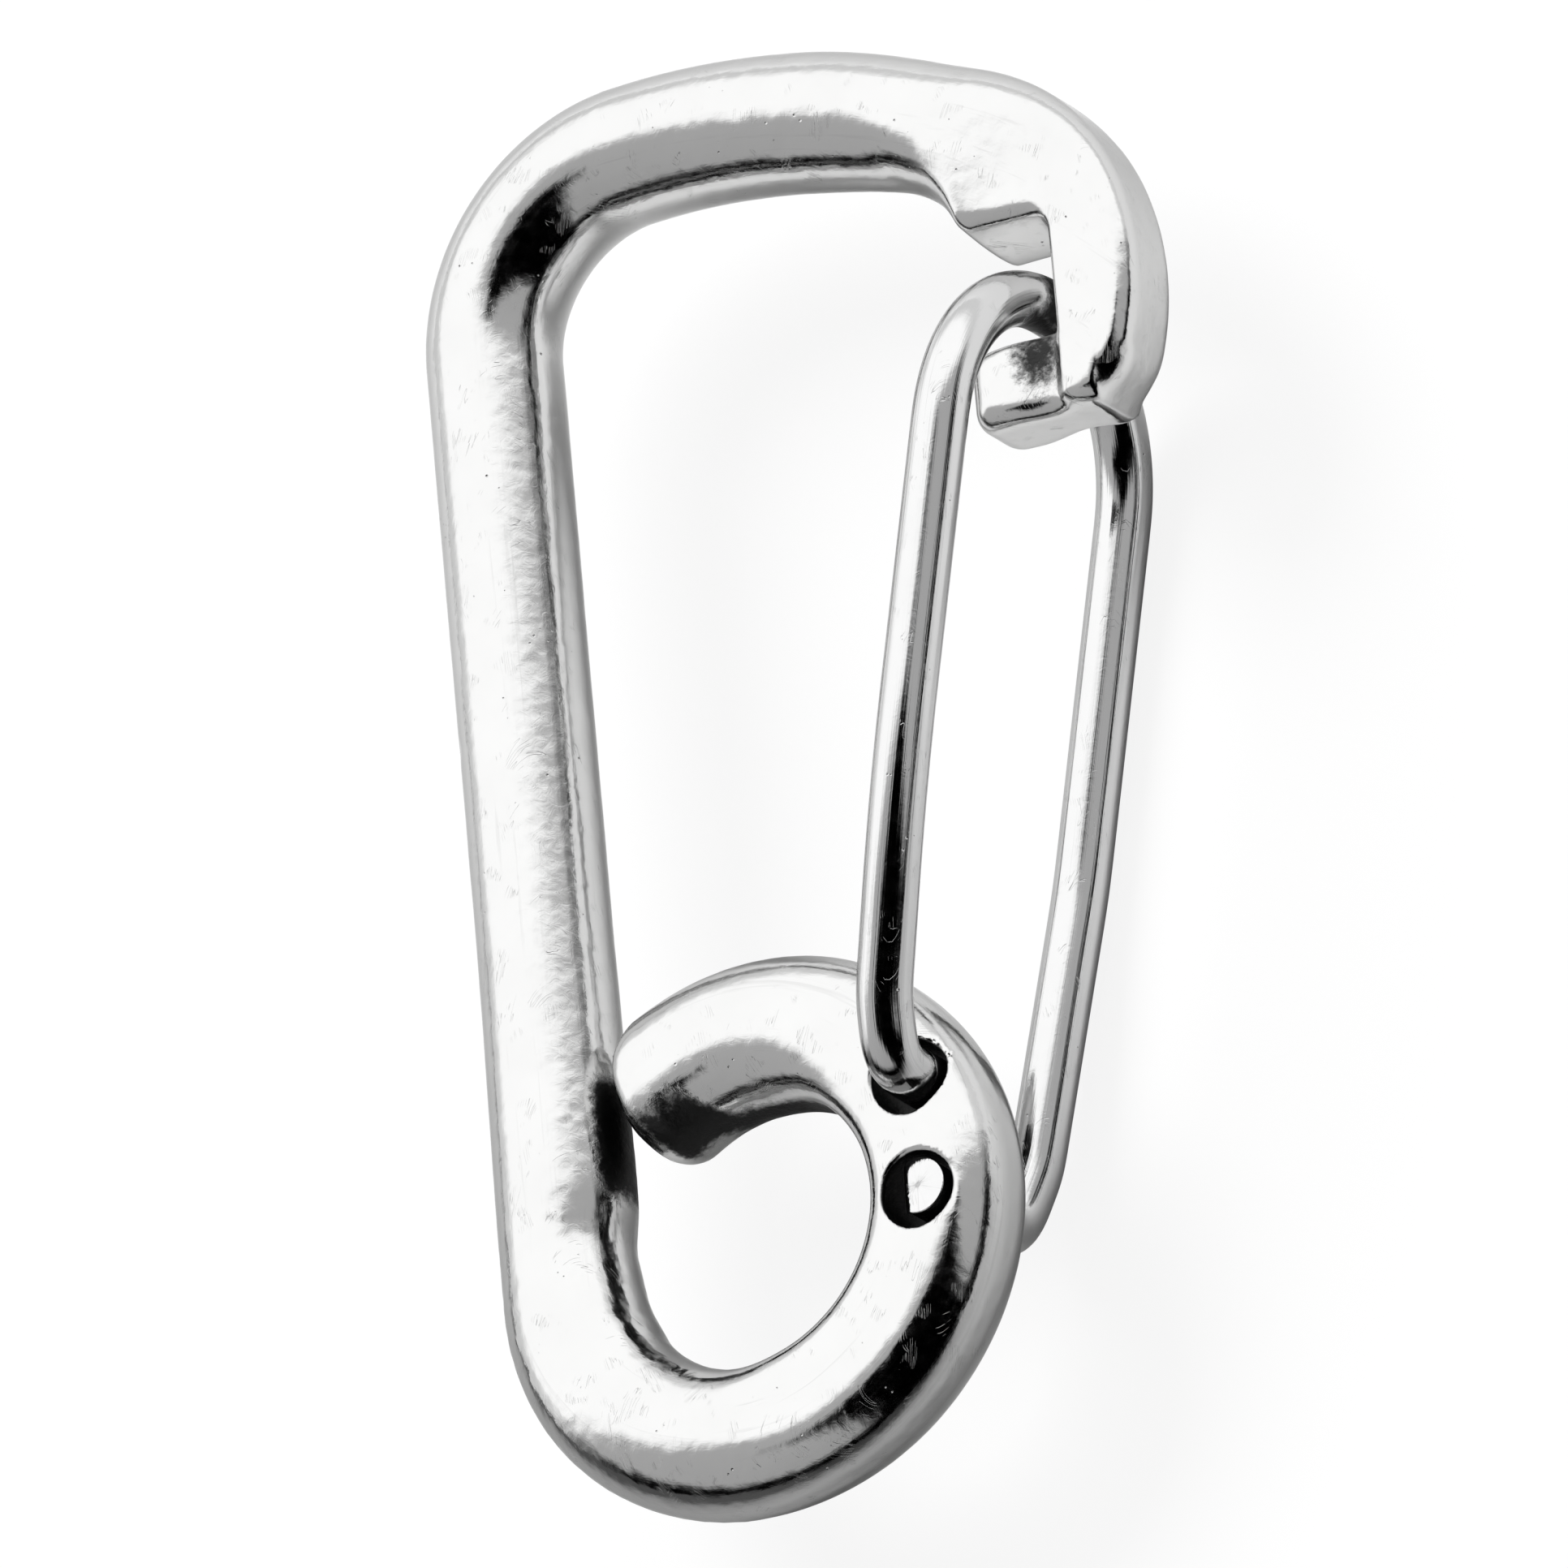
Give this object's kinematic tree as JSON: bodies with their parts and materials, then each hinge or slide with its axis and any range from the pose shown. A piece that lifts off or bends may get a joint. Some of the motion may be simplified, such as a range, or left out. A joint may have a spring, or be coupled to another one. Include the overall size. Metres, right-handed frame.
{
  "type": "spring hook with eye",
  "caption": "Bent and forged steel hook with a curled eye, closed by a sprung double-wire gate whose loop drops into a notch behind the hook's lip.",
  "frame": {"origin": "middle of the underside of the whole hook's bounding box, as it lies flat on a table", "axes": "+Y along the spine from the eye toward the crown, +X from the spine toward the gate, +Z out of the front face, square to the plane of the hook"},
  "size_m": [0.0532, 0.0992, 0.0264],
  "materials": {
    "polished_bar": "tumble-polished stainless steel, bright with fine scratches and small pits",
    "spring_wire": "drawn and polished stainless spring wire, bright with fine lengthwise drawing lines"
  },
  "bodies": {
    "hook": {"hook_body": "polished_bar"},
    "gate": {"wire_gate": "spring_wire"}
  },
  "joints": [
    {"name": "gate_hinge", "type": "hinge", "parent": "hook", "child": "gate", "pos_m": [0.0056, -0.02889, 0.0132], "axis": [0, 0, 1], "range_deg": [0, 22], "stiffness_Nm_per_rad": 0.55, "springref_deg": -11.46}
  ]
}
